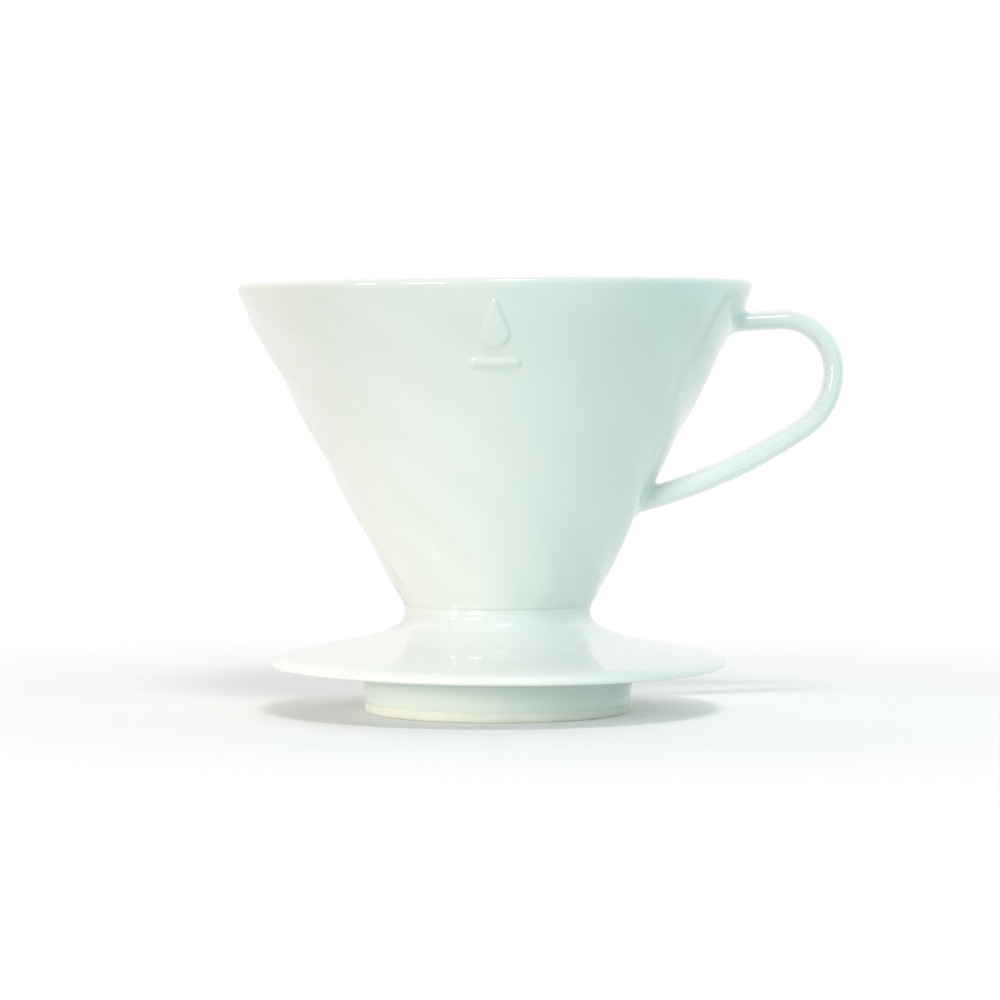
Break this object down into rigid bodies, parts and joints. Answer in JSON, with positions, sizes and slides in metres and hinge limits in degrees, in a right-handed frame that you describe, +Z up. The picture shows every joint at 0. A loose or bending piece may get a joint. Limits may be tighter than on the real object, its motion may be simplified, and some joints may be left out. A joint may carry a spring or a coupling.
{
  "type": "pour over coffee dripper",
  "caption": "White glazed porcelain cone dripper with spiral inside ribs, a drip hole, a saucer base on a foot ring and a looped side handle.",
  "frame": {"origin": "on the cone's axis, in the plane that the foot ring stands on", "axes": "+Z up along the cone's axis, +X towards the handle, +Y to the back when the handle is on the right"},
  "size_m": [0.1415, 0.12, 0.1005],
  "materials": {
    "cone_glaze": "glossy white glaze over porcelain",
    "plate_glaze": "glossy white glaze over porcelain",
    "foot_glaze": "glossy white glaze, with a bare matt edge where it stands",
    "handle_glaze": "glossy white glaze over porcelain"
  },
  "bodies": {
    "root": {"cone_body": "cone_glaze", "base_plate": "plate_glaze", "foot_ring": "foot_glaze", "handle": "handle_glaze", "neck_slip_joint": "plate_glaze", "foot_slip_joint": "plate_glaze", "upper_handle_slip_joint": "handle_glaze", "lower_handle_slip_joint": "handle_glaze"}
  },
  "joints": []
}
